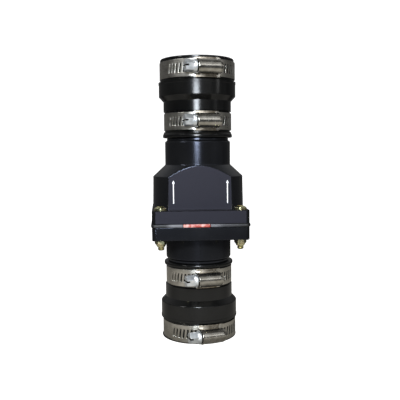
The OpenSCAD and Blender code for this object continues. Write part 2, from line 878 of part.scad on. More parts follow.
module inlet_pipe_clamp_screw() {
    color(screw_colour)
        at_clamp(inlet_pipe_z, inlet_clamp_turn)
            clamp_screw(inlet_pipe_r);
}

inlet_sleeve();
outlet_sleeve();
inlet_housing();
outlet_housing();
flange_gasket();
flapper_disc();
flapper_hinge_web();
flapper_tab();
flapper_weight();
flapper_backing();
flapper_rivet();
flange_bolts();
flange_nuts();
outlet_pipe_clamp_band();
outlet_pipe_clamp_housing();
outlet_pipe_clamp_screw();
outlet_body_clamp_band();
outlet_body_clamp_housing();
outlet_body_clamp_screw();
inlet_body_clamp_band();
inlet_body_clamp_housing();
inlet_body_clamp_screw();
inlet_pipe_clamp_band();
inlet_pipe_clamp_housing();
inlet_pipe_clamp_screw();
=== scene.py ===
import json
import math

import bmesh
import bpy
from mathutils import Matrix, Vector


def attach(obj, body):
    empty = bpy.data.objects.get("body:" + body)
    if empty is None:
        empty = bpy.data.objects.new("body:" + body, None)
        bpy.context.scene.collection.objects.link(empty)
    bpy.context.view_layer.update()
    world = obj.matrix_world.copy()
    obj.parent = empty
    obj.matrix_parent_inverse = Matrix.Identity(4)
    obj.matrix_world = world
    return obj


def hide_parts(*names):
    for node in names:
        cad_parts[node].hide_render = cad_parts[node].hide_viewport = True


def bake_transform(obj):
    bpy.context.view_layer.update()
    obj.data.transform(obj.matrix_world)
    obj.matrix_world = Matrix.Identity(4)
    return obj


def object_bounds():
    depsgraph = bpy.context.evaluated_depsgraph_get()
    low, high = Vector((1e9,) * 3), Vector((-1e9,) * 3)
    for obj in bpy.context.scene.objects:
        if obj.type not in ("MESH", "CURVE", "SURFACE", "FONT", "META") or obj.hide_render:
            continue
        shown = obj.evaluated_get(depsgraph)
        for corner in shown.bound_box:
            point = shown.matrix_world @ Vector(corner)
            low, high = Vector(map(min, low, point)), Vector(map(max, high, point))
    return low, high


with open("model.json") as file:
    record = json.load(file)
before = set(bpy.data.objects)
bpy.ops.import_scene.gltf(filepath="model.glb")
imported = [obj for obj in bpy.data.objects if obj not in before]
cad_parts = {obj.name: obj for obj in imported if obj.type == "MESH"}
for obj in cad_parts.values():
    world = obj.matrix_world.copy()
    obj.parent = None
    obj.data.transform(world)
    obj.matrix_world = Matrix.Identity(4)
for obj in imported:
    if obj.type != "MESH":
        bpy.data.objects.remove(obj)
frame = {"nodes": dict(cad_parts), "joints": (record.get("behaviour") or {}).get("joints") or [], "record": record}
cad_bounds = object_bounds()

# Swing check valve: two black ABS housings bolted over a red rubber flapper, with a black
# rubber coupling and two stainless worm drive clamps at each end.

MM = 0.001
PHOTO_SIDE = 400

# Camera, fitted to the rims' arcs and the outline in the photograph
CAMERA_DISTANCE = 0.4608
CAMERA_HEIGHT = 0.1414
CAMERA_PITCH = math.radians(4.49)
CAMERA_ROLL = math.radians(-0.5)
CAMERA_AZIMUTH = math.radians(-3.5)
CAMERA_AIM = math.radians(-0.19)
FOCAL_PIXELS = 595.3
SENSOR_WIDTH = 36.0

CLAMPS = ["outlet_pipe_clamp", "outlet_body_clamp", "inlet_body_clamp", "inlet_pipe_clamp"]

# Roundings of the edges that the CAD leaves sharp
MOULDED_EDGE = 0.45 * MM
PLATE_EDGE = 0.15 * MM
STRIP_EDGE = 0.12 * MM
WORN_SLOT_EDGE = 0.28 * MM
PRESSED_EDGE = 0.22 * MM
TURNED_EDGE = 0.1 * MM
RUBBER_EDGE = 0.35 * MM
GASKET_EDGE = 0.5 * MM
RIDGE_EDGE = 0.05 * MM

# Angles between faces: an edge is rounded above the first three, shaded hard above the fourth,
# and counts as none below the last
SHARP_ANGLE = math.radians(32)
TAB_ANGLE = math.radians(60)
FOLD_ANGLE = math.radians(80)
SMOOTH_ANGLE = math.radians(40)
FLAT_ANGLE = math.radians(0.6)

# Distances below which points count as one
MERGE_GAP = 0.002 * MM
CUT_GAP = 0.001 * MM

# Sizes that the new pieces share with the part's source
HINGE = Vector((0, -21.2, 89.4)) * MM
TAB_FRONT, TAB_MIDDLE, TAB_WIDTH, TAB_HALF = -36.1 * MM, -3.2 * MM, 19.5 * MM, 1.1 * MM
WEB_HALF, WEB_THICKNESS = 0.8 * MM, 1.2 * MM
FLANGE_HALF = 35.5 * MM
LEDGE_TOP = 100.3 * MM
PANEL_FRONT = -25.4 * MM
NECK_RADIUS, NECK_LOW, NECK_HIGH = 25 * MM, 62.2 * MM, 78.5 * MM
ARROW_LOW, ARROW_HIGH, ARROW_LEFT, ARROW_RIGHT = 104.8 * MM, 121.7 * MM, -19.5 * MM, 20.2 * MM

# Threads: the worms' and the driver slot's places are measured along the screw's axis
WORM_START, WORM_LENGTH, WORM_LAP = -10.2 * MM, 16.75 * MM, 0.2 * MM
WORM_ROOT, WORM_CREST, WORM_PITCH, WORM_TURNS = 3.4 * MM, 4.3 * MM, 3 * MM, 4
DRIVER_END, DRIVER_HALF = -16.4 * MM, 0.66 * MM
BOLT_AT, BOLT_END, BOLT_CUT = 29.06 * MM, 71.1 * MM, 4.5 * MM
BOLT_ROOT, BOLT_CREST, BOLT_PITCH, BOLT_TURNS = 2.05 * MM, 2.5 * MM, 0.8 * MM, 5
BOLT_LENGTH, BOLT_TIP = 4.9 * MM, 0.4 * MM
THREAD_STEPS, ROD_SIDES = 28, 48

# Limits between the regions of a piece that are finished in different ways
SLOT_HALF, EAR_HALF, FAR_SLOTS = 3.6 * MM, 5.8 * MM, 20.5 * MM
JOINT_HALF, LEDGE_CHAMFER, PANEL_NEAR = 1.5 * MM, 0.6 * MM, 0.1 * MM
MOUTH_ROUND, MOUTH_TOP = 0.5 * MM, 0.75 * MM
MOUTH_INNER, MOUTH_SEAT, MOUTH_SWELL = 27 * MM, 27.5 * MM, 1.04

# Cosines: above the first a face looks a given way; below the others a slot's face is dull and painted dark as
# shade
SAME_WAY = 0.99
SHEARED_OR_SHADED, FAR_SHEARED_OR_SHADED = 0.3, 0.95

# Light: the white round the valve, the room's lowest light and the point that the lamps face
PAPER_WHITE = 1.2
ROOM_LIGHT = 0.035
VALVE_MIDDLE = (0, 0, 0.12)


def linear(hex_colour):
    """Scene-linear colour of an sRGB hex value."""
    channels = [int(hex_colour[i:i + 2], 16) / 255 for i in (1, 3, 5)]
    return tuple(c / 12.92 if c <= 0.04045 else ((c + 0.055) / 1.055) ** 2.4 for c in channels) + (1.0,)


def add(tree, kind, links=None, **settings):
    """Adds a node to tree; settings are its attributes or input values, links its inputs' sources."""
    node = tree.nodes.new(kind)
    for name, value in settings.items():
        if hasattr(node, name) and name not in node.inputs:
            setattr(node, name, value)
        else:
            node.inputs[name.replace("_", " ")].default_value = value
    for name, source in (links or {}).items():
        tree.links.new(source, node.inputs[name])
    return node


def finish(name, hex_colour, metallic, roughness, **sockets):
    """A new material with one Principled shader; returns it with its tree and shader."""
    material = bpy.data.materials.new(name)
    material.use_nodes = True
    tree = material.node_tree
    shader = tree.nodes["Principled BSDF"]
    shader.inputs["Base Color"].default_value = linear(hex_colour)
    shader.inputs["Metallic"].default_value = metallic
    shader.inputs["Roughness"].default_value = roughness
    for socket, value in sockets.items():
        shader.inputs[socket.replace("_", " ")].default_value = value
    return material, tree, shader


def per(size_mm):
    """Texture scale at which one feature is about size_mm across."""
    return 1000 / size_mm


def noise(tree, place, size_mm, detail):
    """A 0 to 1 noise whose features are about size_mm across."""
    texture = add(tree, "ShaderNodeTexNoise", {"Vector": place}, Scale=per(size_mm), Detail=detail)
    return texture.outputs["Fac"]


def drive(tree, shader, socket, source, low, high, **settings):
    """Runs a 0 to 1 source into a shader's socket between two values."""
    spread = add(tree, "ShaderNodeMapRange", {"Value": source}, To_Min=low, To_Max=high, **settings)
    tree.links.new(spread.outputs["Result"], shader.inputs[socket])


def colour_between(tree, shader, source, hex_low, hex_high, low=0.3, high=0.7):
    """Runs a 0 to 1 source into the base colour, from one colour to another."""
    ramp = add(tree, "ShaderNodeValToRGB", {"Fac": source})
    for element, place, colour in zip(ramp.color_ramp.elements, (low, high), (hex_low, hex_high)):
        element.position = place
        element.color = linear(colour)
    tree.links.new(ramp.outputs["Color"], shader.inputs["Base Color"])
    return ramp


def roughen(tree, shader, height, depth_mm):
    """Bumps a shader by a 0 to 1 height of depth_mm."""
    bump = add(tree, "ShaderNodeBump", {"Height": height}, Strength=1.0, Distance=depth_mm * MM)
    tree.links.new(bump.outputs["Normal"], shader.inputs["Normal"])


def moulded_rubber():
    """EPDM-like rubber, compression moulded: deep black, a soft sheen from the polished mould."""
    material, tree, shader = finish("moulded_black_rubber", "#0c0c0c", 0.0, 0.24, Specular_IOR_Level=0.4)
    place = add(tree, "ShaderNodeTexCoord").outputs["Object"]
    skin = noise(tree, place, 0.9, 4.0)
    bloom = noise(tree, place, 14, 3.0)
    colour_between(tree, shader, bloom, "#090909", "#0f0f0e")
    drive(tree, shader, "Roughness", bloom, 0.15, 0.24)
    roughen(tree, shader, skin, 0.008)
    return material


def gasket_rubber():
    """Cut sheet rubber, duller than the moulded couplings, with a painted highlight: pale grey in the
    middle of a side, and painted shade towards the bolts."""
    material, tree, shader = finish("cut_sheet_rubber", "#2a2a2c", 0.0, 0.45)
    place = add(tree, "ShaderNodeTexCoord").outputs["Object"]
    grain = noise(tree, place, 0.5, 3.0)
    across = add(tree, "ShaderNodeSeparateXYZ", {"Vector": place}).outputs["X"]
    along = add(tree, "ShaderNodeMapRange", {"Value": across}, From_Min=-FLANGE_HALF,
                From_Max=FLANGE_HALF)
    # Painted highlight across the middle of each side and painted shade towards the bolts; the grain is the
    # sheet's own
    grain_and_painted_highlight = add(tree, "ShaderNodeMath", {0: grain, 2: along.outputs["Result"]}, operation="MULTIPLY_ADD")
    grain_and_painted_highlight.inputs[1].default_value = 0.06  # share of the grain in the painted highlight
    ramp = colour_between(tree, shader, grain_and_painted_highlight.outputs["Value"], "#0a0a0b", "#0c0c0d", 0.0, 1.0)
    for stop, grey in ((0.17, "#1c1c1e"), (0.23, "#6a6a6e"), (0.68, "#5c5c60"), (0.76, "#2e2e31")):
        ramp.color_ramp.elements.new(stop).color = linear(grey)
    roughen(tree, shader, grain, 0.02)
    return material


def flapper_rubber():
    """Red moulded rubber, with the pale bloom that such rubber gets."""
    material, tree, shader = finish("moulded_red_rubber", "#b04238", 0.0, 0.4)
    place = add(tree, "ShaderNodeTexCoord").outputs["Object"]
    bloom = noise(tree, place, 3, 4.0)
    colour_between(tree, shader, bloom, "#a4382d", "#dcada3", 0.4, 0.64)
    drive(tree, shader, "Roughness", bloom, 0.34, 0.55)
    grain = noise(tree, place, 0.5, 2.0)
    roughen(tree, shader, grain, 0.02)
    return material


def moulded_abs():
    """Injection moulded ABS from a polished tool, with faint flow marks."""
    # The bluish specular tint is a painted reflection of the cool window light
    material, tree, shader = finish("moulded_black_abs", "#121212", 0.0, 0.2,
                                    Specular_IOR_Level=0.37, Specular_Tint=linear("#d8e2ff"))
    place = add(tree, "ShaderNodeTexCoord").outputs["Object"]
    flow = noise(tree, place, 20, 3.0)
    skin = noise(tree, place, 1.2, 3.0)
    colour_between(tree, shader, flow, "#0f0f10", "#151515")
    drive(tree, shader, "Roughness", flow, 0.16, 0.24)
    roughen(tree, shader, skin, 0.006)
    return material


def spark_eroded_abs():
    """Injection moulded ABS from a spark eroded tool: an even matt grain, painted bluish and with bluish tinted
    reflections as a painted reflection of the cool window light.
    The grain of 0.1 mm is drawn about 0.8 mm coarse, so that it shows."""
    # The bluish base and specular tint are a painted reflection of the cool window light; the grain is the panel's
    # own
    material, tree, shader = finish("spark_eroded_black_abs", "#0b0e14", 0.0, 0.48,
                                    Specular_IOR_Level=0.3, Specular_Tint=linear("#f2ecff"))
    place = add(tree, "ShaderNodeTexCoord").outputs["Object"]
    grain = noise(tree, place, 0.8, 3.0)
    colour_between(tree, shader, grain, "#080a10", "#0e1118")
    drive(tree, shader, "Roughness", grain, 0.46, 0.62)
    roughen(tree, shader, grain, 0.04)
    return material


def stainless_strip():
    """Cold rolled stainless strip: a warm grey with fine lines along the strip and faint rub marks."""
    material, tree, shader = finish("rolled_stainless_strip", "#cfcbc1", 1.0, 0.3)
    place = add(tree, "ShaderNodeTexCoord").outputs["Object"]
    along = add(tree, "ShaderNodeMapping", {"Vector": place}, Scale=(1, 1, 14))
    lines = noise(tree, along.outputs["Vector"], 9, 5.0)
    marks = noise(tree, place, 5, 4.0)
    colour_between(tree, shader, marks, "#c0bcb2", "#dad6cc")
    drive(tree, shader, "Roughness", lines, 0.2, 0.42)
    roughen(tree, shader, lines, 0.01)
    return material


def sheared_and_shaded_stainless():
    """Edge that the punch leaves in the strip: torn and dull, and painted dark as shade in the slots' recesses."""
    # The dark colours are painted shade for the slots' recesses; the torn texture and dullness are the edge's own
    material, tree, shader = finish("sheared_stainless_edge_painted_shade", "#524f4a", 1.0, 0.5)
    place = add(tree, "ShaderNodeTexCoord").outputs["Object"]
    tears = noise(tree, place, 0.5, 2.0)
    colour_between(tree, shader, tears, "#3a3834", "#63605a")
    return material


def pressed_stainless():
    """Stainless sheet drawn over a punch: smoother than the strip."""
    material, tree, shader = finish("pressed_stainless_sheet", "#b5b2aa", 1.0, 0.24)
    place = add(tree, "ShaderNodeTexCoord").outputs["Object"]
    marks = noise(tree, place, 4, 4.0)
    colour_between(tree, shader, marks, "#a09c93", "#c2bfb7")
    drive(tree, shader, "Roughness", marks, 0.16, 0.34)
    return material


def folded_and_shaded_stainless():
    """The sheet's ears, bent hard over the strip's edges: dulled by the bend, and painted a darker, brownish grey
    as painted shade.
    """
    # The darker brownish colours are painted shade on the ears; the dullness is the bend's own
    material, tree, shader = finish("folded_stainless_sheet_painted_shade", "#857c6e", 1.0, 0.38)
    place = add(tree, "ShaderNodeTexCoord").outputs["Object"]
    marks = noise(tree, place, 2, 4.0)
    colour_between(tree, shader, marks, "#6c6355", "#a0988b")
    drive(tree, shader, "Roughness", marks, 0.3, 0.5)
    return material


def bright_zinc():
    """Zinc plated steel with a clear, faintly blue passivate."""
    material, tree, shader = finish("bright_zinc_plated_steel", "#f4f7f8", 1.0, 0.38)
    place = add(tree, "ShaderNodeTexCoord").outputs["Object"]
    marks = noise(tree, place, 3, 2.0)
    colour_between(tree, shader, marks, "#e8eef0", "#fcfdfd")
    drive(tree, shader, "Roughness", marks, 0.34, 0.54)
    return material


def greased_and_shaded_zinc():
    """The worm's plating under dark grease and metal dust, which is also painted shade where the worm shows beside
    the collar; in the head's driver slot the dark colour is painted shade alone.
    """
    # Dark colours: grease on the worm and painted shade there and in the driver slot
    material, tree, shader = finish("greased_zinc_plated_steel_painted_shade", "#3b3935", 1.0, 0.45)
    place = add(tree, "ShaderNodeTexCoord").outputs["Object"]
    smears = noise(tree, place, 1.5, 3.0)
    colour_between(tree, shader, smears, "#24221f", "#4b4843")
    return material


def yellow_zinc():
    """Zinc plated steel with a yellow passivate, which runs to green and pink in patches."""
    material, tree, shader = finish("yellow_zinc_plated_steel", "#e0d8ab", 1.0, 0.22)
    place = add(tree, "ShaderNodeTexCoord").outputs["Object"]
    film = noise(tree, place, 2.5, 3.0)
    ramp = colour_between(tree, shader, film, "#c3caa4", "#ebe2b0", 0.35, 0.55)
    ramp.color_ramp.elements.new(0.7).color = linear("#e0c29c")
    drive(tree, shader, "Roughness", film, 0.12, 0.3)
    return material


def stainless_plate():
    """Blanked stainless plate, tumbled: an even satin."""
    material, tree, shader = finish("tumbled_stainless_plate", "#b9b7b1", 1.0, 0.36)
    place = add(tree, "ShaderNodeTexCoord").outputs["Object"]
    satin = noise(tree, place, 0.6, 3.0)
    drive(tree, shader, "Roughness", satin, 0.28, 0.46)
    roughen(tree, shader, satin, 0.008)
    return material


def headed_brass():
    """Cold headed brass rivet, slightly dulled."""
    material, tree, shader = finish("headed_brass", "#c39a4c", 1.0, 0.3)
    place = add(tree, "ShaderNodeTexCoord").outputs["Object"]
    tarnish = noise(tree, place, 2, 3.0)
    colour_between(tree, shader, tarnish, "#a17c3a", "#cfa95c")
    return material


def printing_ink():
    """White pad printing ink, a little uneven where it lies on the textured panel."""
    material, tree, shader = finish("white_pad_printing_ink", "#f4f4f4", 0.0, 0.5)
    place = add(tree, "ShaderNodeTexCoord").outputs["Object"]
    wear = noise(tree, place, 0.8, 2.0)
    colour_between(tree, shader, wear, "#d9dadd", "#fbfbfb", 0.25, 0.5)
    return material


def give(material, *nodes):
    """Puts one material on CAD nodes."""
    for node in nodes:
        mesh = frame["nodes"][node].data
        mesh.materials.clear()
        mesh.materials.append(material)


def pick(piece):
    """Makes piece the only selected and active object."""
    bpy.ops.object.select_all(action="DESELECT")
    piece.select_set(True)
    bpy.context.view_layer.objects.active = piece


def apply_modifiers(piece):
    """Applies all modifiers of a piece, in their order."""
    pick(piece)
    for modifier in list(piece.modifiers):
        bpy.ops.object.modifier_apply(modifier=modifier.name)


def merged_copy(node, name):
    """A copy of a CAD node's mesh, its doubles merged and its flat faces joined."""
    piece = bpy.data.objects.new(name, frame["nodes"][node].data.copy())
    bpy.context.scene.collection.objects.link(piece)
    pick(piece)
    bpy.ops.mesh.customdata_custom_splitnormals_clear()
    bpy.ops.object.mode_set(mode="EDIT")
    bpy.ops.mesh.select_all(action="SELECT")
    bpy.ops.mesh.remove_doubles(threshold=MERGE_GAP)
    bpy.ops.mesh.dissolve_limited(angle_limit=FLAT_ANGLE)
    bpy.ops.object.mode_set(mode="OBJECT")
    return piece


def select_where(piece, kind, chosen):
    """Selects, in edit mode, only the vertices or faces that chosen picks."""
    bpy.ops.mesh.select_all(action="DESELECT")
    mesh = bmesh.from_edit_mesh(piece.data)
    for element in getattr(mesh, kind):
        element.select_set(chosen(element))
    mesh.select_flush_mode()
    bmesh.update_edit_mesh(piece.data)


def middle_height(piece):
    """Height halfway between a piece's lowest and highest point."""
    heights = [vertex.co.z for vertex in piece.data.vertices]
    return (min(heights) + max(heights)) / 2


def weigh_edges(piece, weight_of):
    """Bevel weights for a piece's sharp edges, worked out by weight_of from the two ends."""
    mesh = bmesh.new()
    mesh.from_mesh(piece.data)
    weight = mesh.edges.layers.float.new("bevel_weight_edge")
    for edge in mesh.edges:
        if edge.calc_face_angle(0) > SHARP_ANGLE:
            edge[weight] = weight_of([vertex.co for vertex in edge.verts])
    mesh.to_mesh(piece.data)
    mesh.free()


def ease_edges(piece, width, segments=2, angle=SHARP_ANGLE, limit="ANGLE"):
    """Rounds the sharp edges of a piece."""
    bevel = piece.modifiers.new("eased_edges", "BEVEL")
    bevel.width = width
    bevel.segments = segments
    bevel.limit_method = limit
    bevel.angle_limit = angle
    bevel.use_clamp_overlap = False
    bevel.loop_slide = False
    apply_modifiers(piece)
    bpy.ops.object.shade_smooth_by_angle(angle=SMOOTH_ANGLE)
    flats = piece.modifiers.new("true_flats", "WEIGHTED_NORMAL")
    flats.keep_sharp = True
    apply_modifiers(piece)


def hand_over(piece, material, body, slot, *nodes):
    """Gives a finished piece its material and body, and hides the nodes that it stands for; its record slot
    argument is not used.
    """
    piece.data.materials.clear()
    piece.data.materials.append(material)
    if body:
        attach(piece, body)
    if nodes:
        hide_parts(*nodes)


def give_some(piece, material, chosen):
    """Gives a second material to the faces that chosen picks."""
    piece.data.materials.append(material)
    for face in piece.data.polygons:
        if chosen(face):
            face.material_index = len(piece.data.materials) - 1


def body_of(node):
    """The record's body that a CAD node belongs to."""
    for body, members in frame["record"]["behaviour"]["bodies"].items():
        if node in members:
            return body


def eased_node(node, material, slot, width, segments=2, angle=SHARP_ANGLE):
    """Stands for a CAD node with the same shape and eased edges."""
    piece = merged_copy(node, node + "_eased")
    ease_edges(piece, width, segments, angle)
    hand_over(piece, material, body_of(node), slot, node)
    return piece


def make_band(clamp, material, sheared_and_shaded):
    """Slotted band, with the rounder edges that the worm leaves on the slots of its tail. The slot walls
    and the edges of the far slots, which the worm has not reached, are dull and painted dark as shade."""
    node = clamp + "_band"
    band = merged_copy(node, node + "_eased")
    middle = middle_height(band)

    def edge_weight(ends):
        worn = all(at.x < 0 and abs(at.z - middle) < SLOT_HALF for at in ends)
        return 1 if worn else STRIP_EDGE / WORN_SLOT_EDGE

    # Slot walls and the far slots' edge roundings: dull sheared steel, painted dark as shade
    def is_sheared_or_shaded(face):
        outward = face.center.xy.normalized().to_3d()
        limit = FAR_SHEARED_OR_SHADED if face.center.x > FAR_SLOTS else SHEARED_OR_SHADED
        return abs(face.center.z - middle) < SLOT_HALF and abs(face.normal.dot(outward)) < limit

    weigh_edges(band, edge_weight)
    ease_edges(band, WORN_SLOT_EDGE, limit="WEIGHT")
    hand_over(band, material, body_of(node), "clamp_band", node)
    give_some(band, sheared_and_shaded, is_sheared_or_shaded)


def body_edge_weight(ends):
    """None at the joint, nor on the ledge round the chamber, which only has room for its chamfer."""
    at_joint = any(abs(at.z - HINGE.z) < JOINT_HALF for at in ends)
    on_ledge = all(abs(at.z - LEDGE_TOP) < LEDGE_CHAMFER for at in ends)
    return 0 if at_joint or on_ledge else 1


def make_body_housing(node, material):
    """One half of the valve's body, sharp where it meets the gasket and eased elsewhere."""
    housing = merged_copy(node, node + "_eased")
    weigh_edges(housing, body_edge_weight)
    ease_edges(housing, MOULDED_EDGE, 3, limit="WEIGHT")
    hand_over(housing, material, body_of(node), "abs_body", node)
    return housing


def make_swollen_sleeve(node, material):
    """Coupling whose mouth swells past the clamp that presses just above it."""
    sleeve = merged_copy(node, node + "_swollen")

    def at_lip(vertex):
        radius, height = vertex.co.xy.length, vertex.co.z
        in_round = height < MOUTH_ROUND and radius > MOUTH_INNER
        under_band = height < MOUTH_TOP and radius > MOUTH_SEAT
        return in_round or under_band

    bpy.ops.object.mode_set(mode="EDIT")
    select_where(sleeve, "verts", at_lip)
    bpy.ops.transform.resize(value=(MOUTH_SWELL, MOUTH_SWELL, 1), center_override=(0, 0, 0))
    bpy.ops.object.mode_set(mode="OBJECT")
    bpy.ops.object.shade_smooth_by_angle(angle=SMOOTH_ANGLE)
    hand_over(sleeve, material, body_of(node), "coupling_rubber", node)


def make_clamp_housing(clamp, material, folded_and_shaded):
    """Pressed housing, with duller ears along the strip's edges, painted darker as painted shade."""
    housing = eased_node(clamp + "_housing", material, "clamp_housing", PRESSED_EDGE, angle=FOLD_ANGLE)
    middle = middle_height(housing)
    give_some(housing, folded_and_shaded, lambda face: abs(face.center.z - middle) > EAR_HALF)


def move_faces(start, steps):
    """Extrudes the selected faces along Y, from start through steps of (y, scale of Z)."""
    for y, scale in steps:
        bpy.ops.mesh.extrude_region_move(TRANSFORM_OT_translate={"value": (0, y - start, 0)})
        bpy.ops.transform.resize(value=(1, 1, scale), center_override=(0, y, HINGE.z))
        start = y


def join_with(piece, other):
    """Joins another piece to this one as one closed skin."""
    boolean = piece.modifiers.new("joined", "BOOLEAN")
    boolean.operation = "UNION"
    boolean.solver = "EXACT"
    boolean.object = other
    apply_modifiers(piece)
    bpy.data.objects.remove(other)


def make_flapper_rubber(material):
    """Disc, living hinge and tab as the one moulding that they are."""
    rubber_disc = merged_copy("flapper_disc", "flapper_rubber")
    ease_edges(rubber_disc, RUBBER_EDGE)
    bpy.ops.mesh.primitive_cube_add(size=1)
    tab = bpy.context.active_object
    web_front = HINGE.y - WEB_HALF
    tab_length = web_front - TAB_FRONT
    bpy.ops.object.mode_set(mode="EDIT")
    bpy.ops.transform.resize(value=(TAB_WIDTH, tab_length, 2 * TAB_HALF), center_override=(0, 0, 0))
    bpy.ops.transform.translate(value=(TAB_MIDDLE, TAB_FRONT + tab_length / 2, HINGE.z))
    select_where(tab, "faces", lambda face: face.normal.y > SAME_WAY)
    fillet = math.sqrt(WEB_THICKNESS / 2 / TAB_HALF)
    steps = ((-0.8, fillet), (-0.5, fillet), (-0.25, 1), (0, 1), (0.25, 1), (0.5, 1),
             (0.8, 1 / fillet), (1, 1 / fillet), (3, 1))
    move_faces(web_front, [(HINGE.y + WEB_HALF * along, scale) for along, scale in steps])
    bpy.ops.object.mode_set(mode="OBJECT")
    ease_edges(tab, RUBBER_EDGE, angle=TAB_ANGLE)
    join_with(rubber_disc, tab)
    pick(rubber_disc)
    bpy.ops.object.shade_smooth_by_angle(angle=SMOOTH_ANGLE)
    hand_over(rubber_disc, material, None, "flapper_rubber", "flapper_disc", "flapper_hinge_web",
              "flapper_tab")
    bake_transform(rubber_disc)


def threaded_rod(name, root, crest, pitch, turns, length, tip):
    """A rod along Z from the origin, with a helical thread rooted in its core and a chamfered end."""
    bpy.ops.mesh.primitive_plane_add(size=1)
    rod = bpy.context.active_object
    rod.name = name
    depth = crest - root * 0.9
    base, flat = 0.8 * pitch, 0.2 * pitch
    middle = (length - turns * pitch) / 2
    bpy.ops.object.mode_set(mode="EDIT")
    bpy.ops.transform.resize(value=(depth, base, 1), center_override=(0, 0, 0))
    bpy.ops.transform.rotate(value=math.radians(90), orient_axis="X", center_override=(0, 0, 0))
    bpy.ops.transform.translate(value=(crest - depth / 2, 0, middle))
    select_where(rod, "verts", lambda vertex: vertex.co.x > crest - depth / 2)
    bpy.ops.transform.resize(value=(1, 1, flat / base), center_override=(0, 0, middle))
    bpy.ops.mesh.select_all(action="SELECT")
    bpy.ops.mesh.delete(type="ONLY_FACE")
    bpy.ops.object.mode_set(mode="OBJECT")
    helix = rod.modifiers.new("helix", "SCREW")
    helix.screw_offset = pitch
    helix.iterations = turns
    helix.steps = helix.render_steps = THREAD_STEPS
    apply_modifiers(rod)
    bpy.ops.object.mode_set(mode="EDIT")
    bpy.ops.mesh.select_all(action="SELECT")
    bpy.ops.mesh.fill_holes(sides=4)
    bpy.ops.mesh.select_all(action="SELECT")
    bpy.ops.mesh.normals_make_consistent(inside=False)
    bpy.ops.object.mode_set(mode="OBJECT")
    bpy.ops.mesh.primitive_cylinder_add(vertices=ROD_SIDES, radius=root, depth=length,
                                        location=(0, 0, length / 2))
    core = bpy.context.active_object
    ease_edges(core, tip, 1)
    core.select_set(True)
    rod.select_set(True)
    bpy.context.view_layer.objects.active = rod
    bpy.ops.object.join()
    bpy.ops.object.shade_smooth_by_angle(angle=SMOOTH_ANGLE)
    return rod


def lay_along(piece, start, direction):
    """Turns and moves a piece made along Z, and leaves it at the origin."""
    pick(piece)
    piece.rotation_euler = Vector((0, 0, 1)).rotation_difference(Vector(direction)).to_euler()
    piece.location = start
    bpy.ops.object.transform_apply(location=True, rotation=True, scale=True)


def keep_side(piece, point, direction):
    """Cuts a piece at a plane, keeps the side away from direction and closes the cut."""
    pick(piece)
    bpy.ops.object.mode_set(mode="EDIT")
    bpy.ops.mesh.select_all(action="SELECT")
    bpy.ops.mesh.bisect(plane_co=point, plane_no=direction, use_fill=True, clear_outer=True,
                        threshold=CUT_GAP)
    bpy.ops.object.mode_set(mode="OBJECT")


def merge_into(piece, other):
    """Makes another piece's skin part of this object."""
    pick(piece)
    other.select_set(True)
    bpy.ops.object.join()


def make_clamp_screw(clamp, material, grease_and_shade):
    """Slotted hexagon and collar from the CAD, with a helical worm for the CAD's rings."""
    node = clamp + "_screw"
    joint = next(j for j in frame["joints"] if j["child"] == node)
    middle, axis = Vector(joint["pos_m"]), Vector(joint["axis"])

    # Worm faces are greased and painted shade; the driver slot's faces are painted shade
    def is_greased_or_shaded(face):
        along = (face.center - middle).dot(axis)
        in_driver_slot = along < DRIVER_END and abs(face.center.z - middle.z) < DRIVER_HALF
        return along > WORM_START or in_driver_slot

    screw = merged_copy(node, node + "_cut")
    keep_side(screw, middle + axis * (WORM_START + WORM_LAP), axis)
    ease_edges(screw, TURNED_EDGE)
    worm = threaded_rod(node + "_worm", WORM_ROOT, WORM_CREST, WORM_PITCH, WORM_TURNS, WORM_LENGTH,
                        TURNED_EDGE)
    lay_along(worm, middle + axis * WORM_START, axis)
    merge_into(screw, worm)
    hand_over(screw, material, body_of(node), "clamp_screw", node)
    give_some(screw, grease_and_shade, is_greased_or_shaded)


def make_bolts(material):
    """Pan heads and shanks from the CAD, with threaded ends below the nuts."""
    bolts = merged_copy("flange_bolts", "flange_bolts_threaded")
    keep_side(bolts, (0, 0, BOLT_END + BOLT_CUT), (0, 0, -1))
    ease_edges(bolts, TURNED_EDGE)
    for x, y in ((-1, -1), (1, -1), (1, 1), (-1, 1)):
        end = threaded_rod("bolt_end", BOLT_ROOT, BOLT_CREST, BOLT_PITCH, BOLT_TURNS, BOLT_LENGTH,
                           BOLT_TIP)
        lay_along(end, (x * BOLT_AT, y * BOLT_AT, BOLT_END), (0, 0, 1))
        merge_into(bolts, end)
    hand_over(bolts, material, "body", "yellow_zinc_steel", "flange_bolts")


def make_mould_line(name, radius, low, high, material):
    """Low ridge that the mould's joint leaves up the front of a round wall."""
    bpy.ops.mesh.primitive_cylinder_add(vertices=16, radius=1, depth=high - low)
    ridge = bpy.context.active_object
    ridge.name = name
    bpy.ops.object.mode_set(mode="EDIT")
    half_width, height = 0.3 * MM, 0.2 * MM
    bpy.ops.transform.resize(value=(half_width, height, 1), center_override=(0, 0, 0))
    bpy.ops.transform.translate(value=(0, -radius, (low + high) / 2))
    bpy.ops.object.mode_set(mode="OBJECT")
    ease_edges(ridge, RIDGE_EDGE)
    hand_over(ridge, material, "body", "abs_body")


